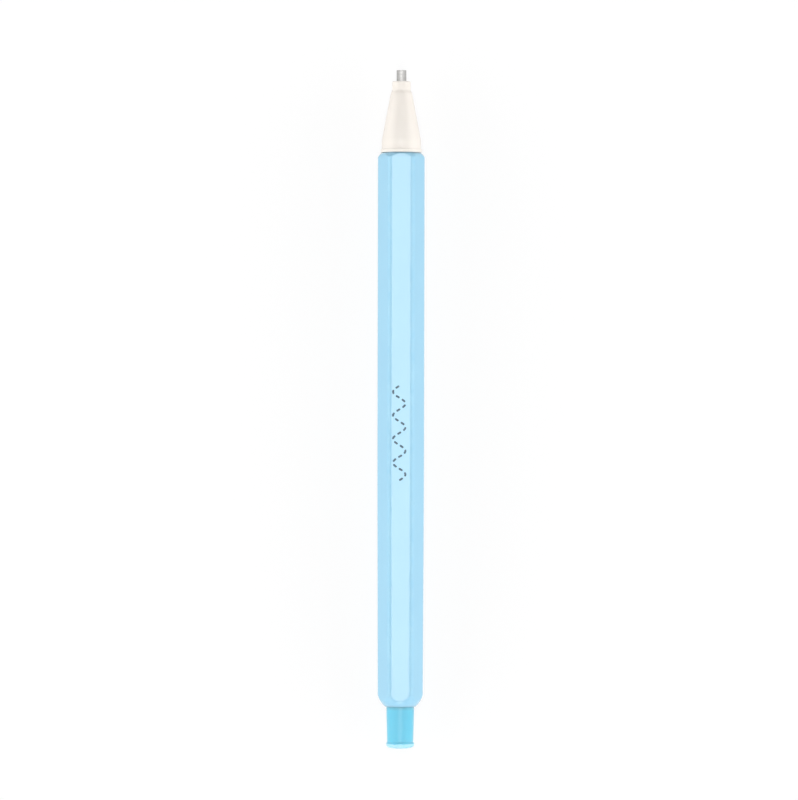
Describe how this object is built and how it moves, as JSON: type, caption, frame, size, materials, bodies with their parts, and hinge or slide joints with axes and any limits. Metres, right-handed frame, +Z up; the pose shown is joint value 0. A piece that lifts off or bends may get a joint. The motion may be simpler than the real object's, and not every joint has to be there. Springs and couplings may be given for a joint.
{
  "type": "mechanical fabric pencil",
  "caption": "Click mechanical pencil for marking fabric: six-sided barrel, screw-on nose cone, metal guide sleeve, collet mechanism and push button.",
  "frame": {"origin": "under the middle of the pencil's length, on the surface that the barrel's lower flat rests on", "axes": "+X along the pencil towards its tip, +Y across it over the barrel's corners, +Z up"},
  "size_m": [0.143, 0.0098, 0.0089],
  "materials": {
    "barrel_plastic": "satin moulded, pale blue",
    "cone_plastic": "satin moulded, cream",
    "button_plastic": "translucent moulded, blue",
    "sleeve_steel": "drawn tube, satin",
    "chuck_brass": "turned",
    "spring_steel": "bright drawn wire",
    "retainer_rubber": "matt black",
    "housing_plastic": "moulded, white",
    "coupling_plastic": "moulded, grey",
    "tube_plastic": "clear extruded",
    "marking_lead": "chalky, white"
  },
  "bodies": {
    "shell": {"barrel": "barrel_plastic", "mechanism_housing": "housing_plastic", "return_spring": "spring_steel"},
    "tip": {"lead_sleeve": "sleeve_steel"},
    "cone": {"nose_cone": "cone_plastic", "lead_retainer": "retainer_rubber"},
    "plunger": {"chuck": "chuck_brass", "tube_coupling": "coupling_plastic", "lead_tube": "tube_plastic", "spare_lead_1": "marking_lead", "spare_lead_2": "marking_lead"},
    "button": {"push_button": "button_plastic"},
    "clutch": {"clutch_ring": "chuck_brass"},
    "lead": {"working_lead": "marking_lead"}
  },
  "joints": [
    {"name": "push_click", "type": "slide", "parent": "shell", "child": "plunger", "axis": [1, 0, 0], "range_m": [0, 0.0035], "stiffness_N_per_m": 500, "springref_m": -0.006, "deforming": ["return_spring"]},
    {"name": "clutch_travel", "type": "slide", "parent": "shell", "child": "clutch", "axis": [1, 0, 0], "range_m": [0, 0.001]},
    {"name": "lead_feed", "type": "slide", "parent": "clutch", "child": "lead", "axis": [1, 0, 0], "range_m": [0, 0.045]},
    {"name": "button_pull", "type": "slide", "parent": "plunger", "child": "button", "axis": [-1, 0, 0], "range_m": [0, 0.0125]},
    {"name": "tip_draw", "type": "slide", "parent": "shell", "child": "tip", "axis": [1, 0, 0], "range_m": [0, 0.0072]},
    {"name": "tip_unscrew", "type": "hinge", "parent": "tip", "child": "cone", "pos_m": [0.055, 0, 0.00445], "axis": [1, 0, 0], "range_deg": [0, 2160]}
  ],
  "couplings": [
    {"joint": "clutch_travel", "follows": "push_click", "ratio": 0.2857},
    {"joint": "tip_unscrew", "follows": "tip_draw", "rad_per_m": 5236}
  ]
}
